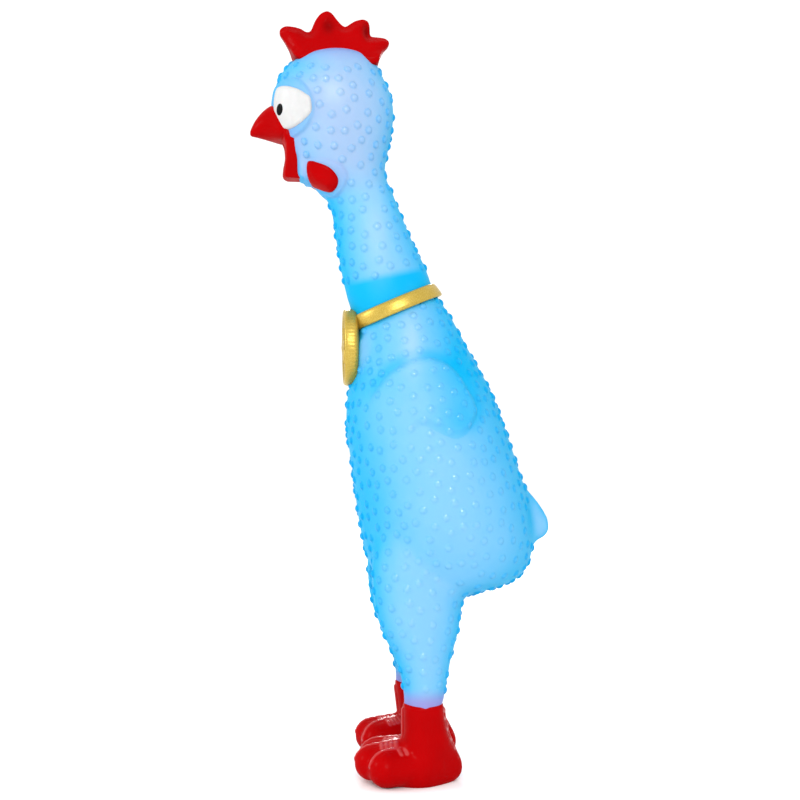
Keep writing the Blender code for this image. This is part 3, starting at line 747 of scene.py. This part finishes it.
def blush_share(points, depths):
    """Red that shines through near the comb, beak and ankles, and a little on the pads."""
    _, socket, wattle_pad, _ = depths
    from_comb = np.linalg.norm((points - (0, -0.0270, 0.3050)) / (0.028, 0.030, 0.019), axis=1)
    from_beak = np.linalg.norm((points - (0, -0.0510, 0.2600)) / (0.020, 0.010, 0.018), axis=1)
    ankle = smoothstep((0.0400 - points[:, 2]) / 0.0075)
    pad = smoothstep((wattle_pad + 0.0008) / 0.0016)
    blush = 0.85 * smoothstep(1 - from_comb) + 0.30 * smoothstep(1.5 - from_beak)
    return np.clip(blush + 0.75 * ankle + 0.16 * pad + 0.10 * socket_share(socket), 0, 1)


def painted_highlight_share(points):
    """Painted highlights: pale patches below the collar, on the neck and on the crown."""
    side = points[:, 1:]
    highlight_spots = spot(side, (0.0030, 0.1785), (0.0038, 0.0120))
    highlight_spots += 0.6 * spot(side, (-0.0105, 0.2280), (0.0050, 0.0200))
    highlight_spots += 1.1 * spot(side, (-0.0285, 0.2815), (0.0050, 0.0055))
    return np.clip(highlight_spots, 0, 1.1)


def skin_regions(mesh):
    """A region name for each face of the skin. The faces of the throat are left open for the whistle."""
    centre = coordinates(mesh)[quads(mesh)].mean(axis=1)
    above_band = above_plane(centre, BAND_CENTRE, BAND_TILT)
    along = centre @ np.array(NECK_UP)
    left = centre[:, 0] > 0
    region = np.full(len(centre), "skin_head", dtype=object)
    region[along < HEAD_CUT] = "skin_nape"
    region[along < NECK_CUT] = "skin_neck"
    region[along < SWAY_SPAN[1]] = "skin_collar"
    torso = above_band < 0
    region[torso & left] = "skin_torso_left"
    region[torso & ~left] = "skin_torso_right"
    leg = centre[:, 2] < LEG_CUT
    region[leg & left] = "skin_left_leg"
    region[leg & ~left] = "skin_right_leg"
    in_throat = np.hypot(centre[:, 0], centre[:, 2] - THROAT_HEIGHT) < THROAT_RADIUS + 0.0005
    region[in_throat & (centre[:, 1] < THROAT_BACK)] = "throat"
    return region


def part_of(whole, chosen, name, attributes):
    """The chosen faces of a mesh as a mesh of their own, shaded as they are in the whole."""
    faces = quads(whole)[chosen]
    kept, index = np.unique(faces.ravel(), return_inverse=True)
    mesh = bpy.data.meshes.new(name)
    mesh.from_pydata(coordinates(whole)[kept].tolist(), [], index.reshape(-1, 4).tolist())
    for attribute in attributes:
        values = np.empty(len(whole.vertices), np.float32)
        whole.attributes[attribute].data.foreach_get("value", values)
        paint(mesh, attribute, values[kept])
    mesh.polygons.foreach_set("use_smooth", np.ones(len(mesh.polygons), bool))
    mesh.normals_split_custom_set_from_vertices(normals(whole)[kept].tolist())
    return mesh


def make_skin(material):
    """The blue skin as pieces that meet point for point."""
    whole = skin_mesh()
    region = skin_regions(whole)
    made = {}
    for name in sorted(set(region) - {"throat"}):
        mesh = part_of(whole, region == name, name, SKIN_TONES)
        made[name] = piece(name, mesh, material)
    for side, sign in (("left", 1), ("right", -1)):
        flank = made[f"skin_torso_{side}"]
        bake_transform(flank)
        leg = made[f"skin_{side}_leg"]
        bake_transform(leg)
        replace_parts(leg, f"{side}_thigh_flex", f"{side}_leg_skin")
        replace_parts(flank, f"{side}_side_panel", f"{side}_wing")
    for name, first, second, span in (
        ("skin_collar", "torso", "neck_root", SWAY_SPAN),
        ("skin_neck", "neck_root", "neck", BEND_SPAN),
        ("skin_nape", "neck", "head", NOD_SPAN),
    ):
        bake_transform(made[name])
    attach(made["skin_head"], "head")
    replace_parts(made["skin_torso_left"], "torso_skin", "tail")
    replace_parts(made["skin_collar"], "collar_skin", "neck_root_flex")
    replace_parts(made["skin_neck"], "neck_skin")
    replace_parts(made["skin_nape"], "nape_flex")
    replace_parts(made["skin_head"], "head_skin")
    return whole


# ---------------- comb, beak and face


def make_comb(red):
    """Four thick rounded lobes on one root that sits down over the crown."""
    mesh = fused("comb_red", [prism(smooth_outline(COMB_OUTLINE), COMB_HALF)], 0.0008, 9, 1)
    points = coordinates(mesh)
    rounding = smoothstep(depth_inside(points[:, 1:], smooth_outline(COMB_OUTLINE, 3)) / 0.0042)
    points[:, 0] *= 1 - 0.55 * (1 - rounding) * smoothstep((points[:, 2] - 0.3000) / 0.004)
    points[:, 2] -= 0.0010
    away = np.sign(points[:, 0])
    for y, z, width, height, push in (
        (-0.0300, 0.3125, 0.0032, 0.0036, -0.0018),
        (-0.0140, 0.3105, 0.0018, 0.0036, -0.0016),
        (-0.0420, 0.3085, 0.0045, 0.0030, 0.0005),
        (-0.0200, 0.3080, 0.0060, 0.0035, 0.0006),
    ):
        points[:, 0] += away * push * spot(points[:, 1:], (y, z), (width, height))
    tips = smoothstep((points[:, 2] - 0.308) / 0.012)
    points[:, 0] *= 1 - 0.30 * tips
    root = np.clip((0.3105 - points[:, 2]) / 0.0105, 0, 1.2)
    points[:, 0] += away * 0.0040 * root**1.5 * smoothstep(np.abs(points[:, 0]) / 0.003)
    set_coordinates(mesh, points)
    # Painted shade in the two deepest dents of the lobes.
    dent_shade = np.zeros(len(points))
    for y, z, width, height in ((-0.0303, 0.3122, 0.0026, 0.0030), (-0.0146, 0.3102, 0.0014, 0.0036)):
        dent_shade += spot(points[:, 1:], (y, z), (width, height))
    paint(mesh, "shade", np.clip(dent_shade, 0, 1))
    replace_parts(piece("comb_red", mesh, red, "head"), "comb")


def make_upper_beak(red):
    """The hooked upper beak, round above and squarer underneath."""
    rows = [
        (0, -0.0440, 0.2716, 0.0126, 0.0086),
        (0, -0.0500, 0.2717, 0.0108, 0.0081),
        (0, -0.0547, 0.2714, 0.0080, 0.0072),
        (0, -0.0583, 0.2704, 0.0058, 0.0054),
        (0, -0.0610, 0.2690, 0.0037, 0.0034),
        (0, -0.0626, 0.2676, 0.0018, 0.0018),
        (0, -0.0632, 0.2671, 0.0006, 0.0007),
    ]
    angle = turns(32)
    rings = []
    for x, y, z, width, height in smooth_rows(rows, 4):
        low = smoothstep(-np.sin(angle) / 0.8) * smoothstep((y + 0.0580) / 0.008)
        reach = np.sign(np.cos(angle)) * np.abs(np.cos(angle)) ** (1 - 0.55 * low) * (1 + 0.16 * low)
        rings.append(np.stack([x + reach * width, np.full(32, y), z + np.sin(angle) * height], axis=1))
    mesh = fused("upper_beak_red", [ring_stack(rings)], 0.0007, 3, 1)
    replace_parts(piece("upper_beak_red", mesh, red, "head"), "upper_beak")


def make_lower_beak(red):
    """The hanging lower beak with its round throat hole."""
    mesh = fused("lower_beak_red", [prism(LOWER_BEAK_OUTLINE, LOWER_BEAK_HALF)], 0.0006, 3, 1)
    points = coordinates(mesh)
    points[:, 1] += 0.0012 * (points[:, 0] / 0.0090) ** 2
    points[:, 0] *= 0.66 + 0.66 * smoothstep((points[:, 2] - 0.2480) / 0.017)
    set_coordinates(mesh, points)
    mesh = drilled(mesh, throat_cutter(), "lower_beak_red")
    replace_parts(piece("lower_beak_red", mesh, red, "head"), "lower_beak")


def drilled(mesh, cutter, name):
    """The mesh with the cutter's shape taken out of it."""
    block = bpy.data.objects.new("block", mesh)
    bar = bpy.data.objects.new("bar", cutter)
    for obj in (block, bar):
        bpy.context.scene.collection.objects.link(obj)
    cut = block.modifiers.new("cut", "BOOLEAN")
    cut.object = bar
    cut.operation = "DIFFERENCE"
    cut.solver = "EXACT"
    result = evaluated_mesh(block, name)
    bpy.data.objects.remove(block)
    bpy.data.objects.remove(bar)
    return result


def throat_cutter():
    """A round bar that cuts the throat hole."""
    angle = turns(40)
    rings = []
    for y in (-0.0600, -0.0300):
        ring = [np.cos(angle) * THROAT_RADIUS, np.full(40, y), THROAT_HEIGHT + np.sin(angle) * THROAT_RADIUS]
        rings.append(np.stack(ring, axis=1))
    return mesh_from("hole", [ring_stack(rings)])


def surface_patch(name, skin, outline, sign, height, sink, edge, rings=14):
    """A closed patch on the skin inside a side-view outline, raised by height and rounded over its edge."""
    centre = np.mean(outline, axis=0)
    count = len(outline)
    top, bottom = [], []
    depth = depth_inside(np.array([centre]), outline)[0]
    for ring in range(rings + 1):
        share = 1 - ring / rings
        for point in outline:
            y, z = centre + (point - centre) * max(share, 0.02)
            inside = depth_inside(np.array([(y, z)]), outline)[0]
            rounding = math.sqrt(max(0.0, min(1.0, inside / edge)))
            rise = height * rounding * (0.75 + 0.25 * min(1, inside / depth))
            hit, normal, _, _ = skin.ray_cast(Vector((sign * 0.06, y, z)), Vector((-sign, 0, 0)))
            if hit is None:
                hit, normal, _, _ = skin.find_nearest(Vector((sign * 0.004, y, z)))
            top.append(hit + normal * (rise + 0.0001))
            bottom.append(hit - normal * sink)
    points = np.array([tuple(point) for point in top + bottom])
    faces = []
    last = rings * count
    under = len(top)
    for ring in range(rings):
        for side in range(count):
            turn = (side + 1) % count
            low, high = ring * count, ring * count + count
            faces.append((low + side, low + turn, high + turn, high + side))
            low, high = low + under, high + under
            faces.append((low + side, high + side, high + turn, low + turn))
    for side in range(count):
        turn = (side + 1) % count
        faces.append((side, under + side, under + turn, turn))
    faces.append(tuple(range(last, last + count)))
    faces.append(tuple(range(under + last + count - 1, under + last - 1, -1)))
    return mesh_from(name, [(points, faces)])


def make_face(skin, red, white, black):
    """Eyes, pupils and wattles, each fitted to the skin under it."""
    tree = BVHTree.FromPolygons(coordinates(skin).tolist(), quads(skin).tolist())
    eye_outline = smooth_outline(EYE_OUTLINE, 3)
    wattle_outline = smooth_outline(WATTLE_OUTLINE, 5)
    angle = turns(24)
    pupil_outline = np.stack([np.cos(angle) * 0.00125, np.sin(angle) * 0.0023], axis=1) + PUPIL_CENTRE
    for side, sign in (("left", 1), ("right", -1)):
        mesh = surface_patch(f"{side}_eye_paint", tree, eye_outline, sign, 0.0010, 0.0010, 0.0012)
        eye_faces = [tuple(face.vertices) for face in mesh.polygons]
        eye_tree = BVHTree.FromPolygons(coordinates(mesh).tolist(), eye_faces)
        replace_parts(piece(f"{side}_eye_paint", mesh, white, "head"), f"{side}_eye_white")
        mesh = surface_patch(f"{side}_pupil_paint", eye_tree, pupil_outline, sign, 0.00025, 0.0004, 0.0006, 5)
        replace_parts(piece(f"{side}_pupil_paint", mesh, black, "head"), f"{side}_pupil")
        lobe = wattle_outline + (0, 0 if sign > 0 else RIGHT_WATTLE_RISE)
        mesh = surface_patch(f"{side}_wattle_red", tree, lobe, sign, 0.0026, 0.0012, 0.0032)
        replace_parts(piece(f"{side}_wattle_red", mesh, red, "head"), f"{side}_wattle")


# ---------------- feet


def foot_base():
    """The smooth left foot: ankle, narrow heel and three tall toes."""
    points, faces = loft(smooth_rows(FOOT_ROWS, 4), 48, 0.8)
    heel = smoothstep((points[:, 1] - 0.0060) / 0.0160) * smoothstep((0.0200 - points[:, 2]) / 0.0120)
    points[:, 0] += heel * (-0.0025 - 0.40 * (points[:, 0] - 0.0225))
    shapes = [(points, faces)]
    for start, end, start_radius, end_radius in TOES:
        path, sizes = toe_line(start, end, start_radius, end_radius)
        shapes.append(tube(path, sizes, 24))
        shapes.append(ellipsoid(tuple(path[-1]), (end_radius,) * 3))
    return shapes


def toe_line(start, end, start_radius, end_radius):
    """Points along the middle of a toe, and the radius at each. The longest toe's tip is raised a little."""
    shares = np.linspace(0, 1, 10)
    sizes = [start_radius + (end_radius - start_radius) * share for share in shares]
    path = []
    for share, size in zip(shares, sizes):
        path.append(Vector((*start, 0)).lerp(Vector((*end, 0)), share) + Vector((0, 0, size * 0.98)))
    if end[1] < -0.012:
        path = [point + Vector((0, 0, 0.0012 * share)) for point, share in zip(path, shares)]
    return path, sizes


def foot_ridges():
    """Thin raised lines on the left foot: along each toe, across its root, up the ankle and down the heel."""
    lines = []
    for start, end, start_radius, end_radius in TOES:
        path, sizes = toe_line(start, end, start_radius, end_radius)
        heading = (path[-1] - path[0]).normalized()
        across = Vector((-heading.y, heading.x, 0))
        crest = [point + Vector((0, 0, size + 0.0001)) for point, size in zip(path[2:], sizes[2:])]
        for degrees in (20, 40, 60, 78):
            lean = math.radians(degrees)
            crest.append(path[-1] + (heading * math.sin(lean) + Vector((0, 0, math.cos(lean)))) * end_radius)
        lines.append((crest, 0.0007))
        for point, size in zip(path[4:8], sizes[4:8]):
            fold = []
            for degrees in np.linspace(-32, 32, 9):
                lean = math.radians(degrees)
                direction = across * math.sin(lean) + Vector((0, 0, math.cos(lean)))
                fold.append(point + direction * (size + 0.0001))
            lines.append((fold, 0.00045))
    lines.append(([Vector((ANKLE_X, -0.0008, z)) for z in np.linspace(0.0170, 0.0300, 8)], 0.0007))
    heel = [
        (ANKLE_X, 0.0161, 0.0300),
        (ANKLE_X, 0.0165, 0.0260),
        (0.0215, 0.0178, 0.0200),
        (0.0208, 0.0200, 0.0145),
        (0.0202, 0.0220, 0.0095),
    ]
    heel = [Vector(point) for point in smooth_rows(heel, 4)]
    lines.append((heel, 0.0008))
    for point in heel[1::3]:
        fold = [point + Vector((x, 0.0004 - abs(x) * 0.5, 0)) for x in np.linspace(-0.0022, 0.0022, 5)]
        lines.append((fold, 0.0006))
    return lines


def ridge_distance(points, lines, sign):
    """How far each point of a foot is from the nearest raised line."""
    spots = np.concatenate([smooth_rows([tuple(point) for point in path], 4) for path, _ in lines])
    tree = KDTree(len(spots))
    for index, spot in enumerate(spots * (sign, 1, 1)):
        tree.insert(spot, index)
    tree.balance()
    return np.array([tree.find(point)[2] for point in points])


def make_feet(red):
    """Both feet, flat under the soles, with their ridges."""
    lines = foot_ridges()
    base = fused("foot", foot_base(), 0.0009, 6, 0)
    shapes = [(coordinates(base), [tuple(face.vertices) for face in base.polygons])]
    shapes += [tube(path, [radius] * len(path), 8) for path, radius in lines]
    for side in ("left", "right"):
        placed = shapes if side == "left" else [mirrored(shape) for shape in shapes]
        mesh = fused(f"{side}_foot_red", placed, 0.0006, 1, 1)
        points = coordinates(mesh)
        points[:, 2] = np.maximum(points[:, 2], 0.0)
        near = ridge_distance(points, lines, 1 if side == "left" else -1)
        outward = np.clip((np.abs(points[:, 0]) - ANKLE_X) / 0.0084, -1, 1)
        points[:, 2] -= 0.0006 * outward**2 * smoothstep((points[:, 2] - 0.0240) / 0.006)
        if side == "right":
            points[:, 1] += RIGHT_FOOT_SHIFT * np.clip((0.0320 - points[:, 2]) / 0.0200, 0, 1)
        set_coordinates(mesh, points)
        # The ridges get gloss and a painted highlight of lighter pink.
        paint(mesh, "ridge", smoothstep((0.0012 - near) / 0.0007))
        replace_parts(piece(f"{side}_foot_red", mesh, red, f"{side}_leg"), f"{side}_foot")


# ---------------- gold pieces


def make_band(gold):
    """The raised ribbon, a flat hoop with soft edges that follows the slope of the neck."""
    # Distance up the neck, and distance out from the skin.
    profile = [
        (-0.0030, -0.0012), (-0.0030, 0.0008), (-0.0026, 0.0013), (-0.0012, 0.0015),
        (0.0012, 0.0015), (0.0026, 0.0013), (0.0030, 0.0008), (0.0030, -0.0012),
    ]
    sides = 160
    points, faces = [], []
    for side in range(sides):
        angle = 2 * math.pi * side / sides
        for along, out in profile:
            spread = 0.0006 - along * 0.25
            width, depth = 0.0174 + out + spread, 0.0182 + out + spread
            across = math.sin(angle) * depth
            y = BAND_CENTRE.y + across * math.cos(BAND_TILT) - along * math.sin(BAND_TILT)
            z = BAND_CENTRE.z + across * math.sin(BAND_TILT) + along * math.cos(BAND_TILT)
            points.append((math.cos(angle) * width, y, z))
    count = len(profile)
    for side in range(sides):
        here, there = side * count, ((side + 1) % sides) * count
        for index in range(count):
            turn = (index + 1) % count
            faces.append((here + index, here + turn, there + turn, there + index))
    mesh = mesh_from("ribbon_gold", [(np.array(points), faces)])
    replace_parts(piece("ribbon_gold", mesh, gold, "torso"), "neck_band")


def make_medal(gold):
    """A round medal with a bead at its rim and a milled edge."""
    sides = 360
    angle = turns(sides)
    # Radius, distance forward, and whether the edge is milled there.
    profile = [
        (0.0120, -0.0044, 0), (0.0150, -0.0038, 0), (0.0159, -0.0032, 1), (0.0161, -0.0022, 1),
        (0.0161, 0.0006, 0), (0.0158, 0.0014, 0), (0.0152, 0.0018, 0), (0.0144, 0.0017, 0),
        (0.0139, 0.0011, 0), (0.0060, 0.0012, 0), (0.0005, 0.0012, 0),
    ]
    rings = []
    for radius, height, milled in profile:
        mill = milled * 0.00006 * np.sin(angle * 60)
        ring = [np.cos(angle) * (radius + mill), np.sin(angle) * (radius + mill), np.full(sides, height)]
        rings.append(np.stack(ring, axis=1))
    mesh = mesh_from("medal_gold", [ring_stack(rings)])
    mesh.transform(MEDAL_PLACE)
    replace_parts(piece("medal_gold", mesh, gold, "torso"), "medallion")


def make_star(gold):
    """A plain faceted star on the medal's face."""
    star = []
    for corner in range(10):
        radius = 0.0085 if corner % 2 == 0 else 0.0038
        star.append((radius * math.sin(corner * math.pi / 5), radius * math.cos(corner * math.pi / 5)))
    base = [(x, y, 0.0008) for x, y in star]
    shoulder = [(x * 0.94, y * 0.94, 0.0018) for x, y in star]
    points = np.array(base + shoulder + [(0, 0, 0.0026)])
    faces = [tuple(range(9, -1, -1))]
    for corner in range(10):
        nearby = (corner + 1) % 10
        faces.append((corner, nearby, 10 + nearby, 10 + corner))
        faces.append((10 + corner, 10 + nearby, 20))
    mesh = mesh_from("star_gold", [(points, faces)])
    mesh.transform(MEDAL_PLACE)
    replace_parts(piece("star_gold", mesh, gold, "torso", smooth=False), "medallion_star")


def dress_whistle():
    """Moulded plastic on the noise maker's own CAD pieces."""
    body = plastic_material("whistle_plastic", (0.70, 0.71, 0.68), (0.80, 0.81, 0.78))
    film = plastic_material("reed_film", (0.72, 0.60, 0.32), (0.82, 0.70, 0.42))
    for node, material in (("whistle_body", body), ("reed_bed", body), ("reed_wedge", body), ("reed", film)):
        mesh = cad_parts[node].data
        mesh.materials.clear()
        mesh.materials.append(material)


# ---------------- studio


def soft_box(name, place, size, power):
    """A rectangular light that faces the middle of the chicken."""
    data = bpy.data.lights.new(name, "AREA")
    data.shape = "RECTANGLE"
    data.size, data.size_y = size
    data.energy = power
    light = bpy.data.objects.new(name, data)
    light.location = place
    light.rotation_euler = (Vector((0, 0, 0.16)) - Vector(place)).to_track_quat("-Z", "Y").to_euler()
    bpy.context.scene.collection.objects.link(light)


def make_studio():
    """A white floor, white surroundings, and soft boxes."""
    floor = mesh_from("studio_floor", [loft([(0, 0, -0.004, 6, 6, 0), (0, 0, 0, 6, 6, 0)], 64)])
    ground = bpy.data.objects.new("studio_floor", floor)
    bpy.context.scene.collection.objects.link(ground)
    floor.materials.append(floor_material())

    world = bpy.data.worlds.new("studio_white")
    world.use_nodes = True
    background = world.node_tree.nodes["Background"]
    background.inputs["Color"].default_value = (1, 1, 1, 1)
    background.inputs["Strength"].default_value = 1.12
    bpy.context.scene.world = world
    soft_box("key_box", (1.0, -0.05, 0.62), (0.36, 0.40), 6.0)
    soft_box("back_box", (-1.0, 0.05, 0.50), (0.22, 0.30), 4.5)
    soft_box("front_box", (0.1, -1.0, 0.50), (0.22, 0.30), 3.0)
    bpy.context.scene.view_settings.view_transform = "Standard"


def make_camera():
    """A level camera on the chicken's left, turned a little towards its front."""
    data = bpy.data.cameras.new("camera")
    distance, turn, height = 0.56, math.radians(4.6), 0.1554
    view_width = 0.33864
    data.sensor_width = 36
    data.lens = 36 * distance / view_width
    camera = bpy.data.objects.new("camera", data)
    camera.location = (distance * math.cos(turn), -distance * math.sin(turn), height)
    camera.rotation_euler = (math.radians(90), 0, math.radians(90) - turn)
    bpy.context.scene.collection.objects.link(camera)
    bpy.context.scene.camera = camera


def main():
    red = red_material()
    gold = gold_material()
    skin = make_skin(skin_material())
    make_comb(red)
    make_upper_beak(red)
    make_lower_beak(red)
    make_face(skin, red, white_material(), black_material())
    make_feet(red)
    make_band(gold)
    make_medal(gold)
    make_star(gold)
    dress_whistle()
    make_studio()
    make_camera()


main()
